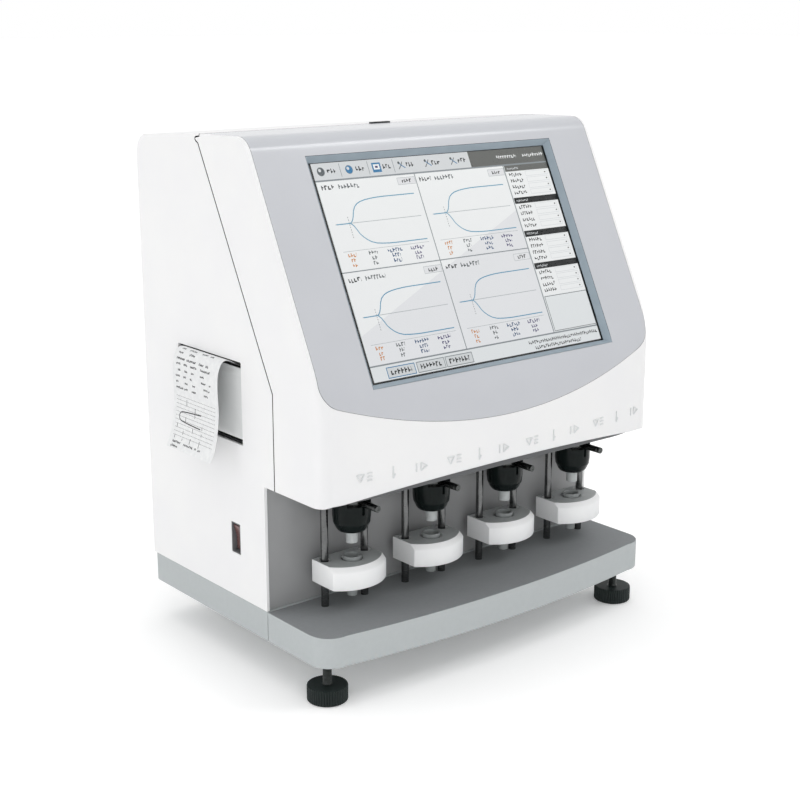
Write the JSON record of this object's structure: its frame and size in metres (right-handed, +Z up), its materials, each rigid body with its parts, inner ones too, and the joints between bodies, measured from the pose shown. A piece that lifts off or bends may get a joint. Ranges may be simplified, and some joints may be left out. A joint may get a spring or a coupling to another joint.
{
  "type": "thromboelastograph",
  "caption": "Benchtop blood clot analyser: tilted touch screen over an open niche with measuring stations, lever-locked heads, side paper printer, bowed base on levelling feet.",
  "frame": {"origin": "centre of the rear levelling foot's flat underside, on the bench", "axes": "+X to the user's right, +Y away from the user, +Z up"},
  "size_m": [0.4563, 0.317, 0.5158],
  "materials": {
    "base_metal": "satin, light grey",
    "white_paint": "white, fine satin",
    "grey_paint": "light grey, satin",
    "black_metal": "black, satin",
    "lever_steel": "dark, polished",
    "rod_steel": "ground and polished",
    "white_plastic": "white, satin",
    "pale_plastic": "pale grey, satin",
    "black_plastic": "black, fine grain",
    "bezel_plastic": "bluish grey, satin",
    "screen_glass": "clear, hard coated",
    "panel_metal": "plain sheet",
    "board_green": "green solder mask",
    "paper_white": "smooth coated paper",
    "rocker_red": "dark red",
    "platen_rubber": "black, ground",
    "fan_plastic": "black, glass filled"
  },
  "bodies": {
    "frame": {"base_platform": "base_metal", "base_rear": "base_metal", "rear_housing": "white_paint", "front_cover": "white_paint", "rear_panel": "white_paint", "fascia_panel": "grey_paint", "head_deck": "grey_paint", "niche_wall": "grey_paint", "switch_bezel": "grey_paint", "screen_bezel": "bezel_plastic", "touch_glass": "screen_glass", "lcd_panel": "black_plastic", "guide_rod_left_1": "rod_steel", "guide_rod_right_1": "rod_steel", "head_housing_1": "black_metal", "guide_rod_left_2": "rod_steel", "guide_rod_right_2": "rod_steel", "head_housing_2": "black_metal", "guide_rod_left_3": "rod_steel", "guide_rod_right_3": "rod_steel", "head_housing_3": "black_metal", "guide_rod_left_4": "rod_steel", "guide_rod_right_4": "rod_steel", "head_housing_4": "black_metal", "printer_body": "black_plastic", "power_inlet": "black_plastic", "data_port": "black_plastic", "fan_frame": "fan_plastic", "electronics_tray": "panel_metal", "power_supply": "panel_metal", "main_board": "board_green", "sensor_board": "board_green"},
    "carriage_1": {"carriage_1": "white_plastic"},
    "cup_1": {"cup_holder_1": "pale_plastic"},
    "pin_1": {"sensor_pin_1": "pale_plastic"},
    "lever_1": {"lever_1": "lever_steel"},
    "carriage_2": {"carriage_2": "white_plastic"},
    "cup_2": {"cup_holder_2": "pale_plastic"},
    "pin_2": {"sensor_pin_2": "pale_plastic"},
    "lever_2": {"lever_2": "lever_steel"},
    "carriage_3": {"carriage_3": "white_plastic"},
    "cup_3": {"cup_holder_3": "pale_plastic"},
    "pin_3": {"sensor_pin_3": "pale_plastic"},
    "lever_3": {"lever_3": "lever_steel"},
    "carriage_4": {"carriage_4": "white_plastic"},
    "cup_4": {"cup_holder_4": "pale_plastic"},
    "pin_4": {"sensor_pin_4": "pale_plastic"},
    "lever_4": {"lever_4": "lever_steel"},
    "printer_door": {"printer_door": "white_plastic", "paper_strip": "paper_white"},
    "platen": {"platen_roller": "platen_rubber"},
    "paper_roll": {"paper_roll": "paper_white"},
    "power_rocker": {"power_rocker": "rocker_red"},
    "fan_rotor": {"fan_rotor": "fan_plastic"},
    "roof_latch": {"roof_latch": "black_plastic"},
    "foot_front_left": {"foot_front_left": "black_plastic"},
    "foot_front_right": {"foot_front_right": "black_plastic"},
    "foot_rear": {"foot_rear": "black_plastic"}
  },
  "joints": [
    {"name": "carriage_1_lift", "type": "slide", "parent": "frame", "child": "carriage_1", "axis": [0, 0, 1], "range_m": [-0.008, 0.022]},
    {"name": "cup_1_swing", "type": "hinge", "parent": "carriage_1", "child": "cup_1", "pos_m": [-0.1388, -0.2063, 0.0993], "axis": [0, 0, 1], "range_deg": [-2.38, 2.38]},
    {"name": "pin_1_twist", "type": "hinge", "parent": "frame", "child": "pin_1", "pos_m": [-0.1388, -0.2063, 0.1342], "axis": [0, 0, 1], "range_deg": [-2.4, 2.4], "stiffness_Nm_per_rad": 0.002},
    {"name": "lever_1_turn", "type": "hinge", "parent": "frame", "child": "lever_1", "pos_m": [-0.1388, -0.2063, 0.1774], "axis": [0, 0, 1], "range_deg": [-35, 35]},
    {"name": "carriage_2_lift", "type": "slide", "parent": "frame", "child": "carriage_2", "axis": [0, 0, 1], "range_m": [-0.008, 0.022]},
    {"name": "cup_2_swing", "type": "hinge", "parent": "carriage_2", "child": "cup_2", "pos_m": [-0.0394, -0.2063, 0.0993], "axis": [0, 0, 1], "range_deg": [-2.38, 2.38]},
    {"name": "pin_2_twist", "type": "hinge", "parent": "frame", "child": "pin_2", "pos_m": [-0.0394, -0.2063, 0.1342], "axis": [0, 0, 1], "range_deg": [-2.4, 2.4], "stiffness_Nm_per_rad": 0.002},
    {"name": "lever_2_turn", "type": "hinge", "parent": "frame", "child": "lever_2", "pos_m": [-0.0394, -0.2063, 0.1774], "axis": [0, 0, 1], "range_deg": [-35, 35]},
    {"name": "carriage_3_lift", "type": "slide", "parent": "frame", "child": "carriage_3", "axis": [0, 0, 1], "range_m": [-0.008, 0.022]},
    {"name": "cup_3_swing", "type": "hinge", "parent": "carriage_3", "child": "cup_3", "pos_m": [0.06, -0.2063, 0.0993], "axis": [0, 0, 1], "range_deg": [-2.38, 2.38]},
    {"name": "pin_3_twist", "type": "hinge", "parent": "frame", "child": "pin_3", "pos_m": [0.06, -0.2063, 0.1342], "axis": [0, 0, 1], "range_deg": [-2.4, 2.4], "stiffness_Nm_per_rad": 0.002},
    {"name": "lever_3_turn", "type": "hinge", "parent": "frame", "child": "lever_3", "pos_m": [0.06, -0.2063, 0.1774], "axis": [0, 0, 1], "range_deg": [-35, 35]},
    {"name": "carriage_4_lift", "type": "slide", "parent": "frame", "child": "carriage_4", "axis": [0, 0, 1], "range_m": [-0.008, 0.022]},
    {"name": "cup_4_swing", "type": "hinge", "parent": "carriage_4", "child": "cup_4", "pos_m": [0.1594, -0.2063, 0.0993], "axis": [0, 0, 1], "range_deg": [-2.38, 2.38]},
    {"name": "pin_4_twist", "type": "hinge", "parent": "frame", "child": "pin_4", "pos_m": [0.1594, -0.2063, 0.1342], "axis": [0, 0, 1], "range_deg": [-2.4, 2.4], "stiffness_Nm_per_rad": 0.002},
    {"name": "lever_4_turn", "type": "hinge", "parent": "frame", "child": "lever_4", "pos_m": [0.1594, -0.2063, 0.1774], "axis": [0, 0, 1], "range_deg": [-35, 35]},
    {"name": "printer_door_hinge", "type": "hinge", "parent": "frame", "child": "printer_door", "pos_m": [-0.2126, -0.08255, 0.233], "axis": [0, -1, 0], "range_deg": [0, 45]},
    {"name": "platen_spin", "type": "hinge", "parent": "printer_door", "child": "platen", "pos_m": [-0.206, -0.08255, 0.297], "axis": [0, 1, 0], "continuous": true},
    {"name": "paper_roll_spin", "type": "hinge", "parent": "frame", "child": "paper_roll", "pos_m": [-0.183, -0.08255, 0.263], "axis": [0, 1, 0], "continuous": true},
    {"name": "power_rocker_tilt", "type": "hinge", "parent": "frame", "child": "power_rocker", "pos_m": [-0.207, -0.1218, 0.1314], "axis": [0, 1, 0], "range_deg": [0, 16]},
    {"name": "fan_spin", "type": "hinge", "parent": "frame", "child": "fan_rotor", "pos_m": [0.11, 0.0105, 0.321], "axis": [0, 1, 0], "continuous": true},
    {"name": "roof_latch_press", "type": "slide", "parent": "frame", "child": "roof_latch", "axis": [0, 0, -1], "range_m": [0, 0.0012], "stiffness_N_per_m": 200, "springref_m": -0.001},
    {"name": "foot_front_left_turn", "type": "hinge", "parent": "frame", "child": "foot_front_left", "pos_m": [-0.194, -0.2392, 0], "axis": [0, 0, 1], "range_deg": [-1080, 1080]},
    {"name": "foot_front_right_turn", "type": "hinge", "parent": "frame", "child": "foot_front_right", "pos_m": [0.194, -0.2392, 0], "axis": [0, 0, 1], "range_deg": [-1080, 1080]},
    {"name": "foot_rear_turn", "type": "hinge", "parent": "frame", "child": "foot_rear", "pos_m": [0, 0, 0], "axis": [0, 0, 1], "range_deg": [-1080, 1080]}
  ],
  "couplings": [
    {"joint": "paper_roll_spin", "follows": "platen_spin", "ratio": -0.19}
  ]
}
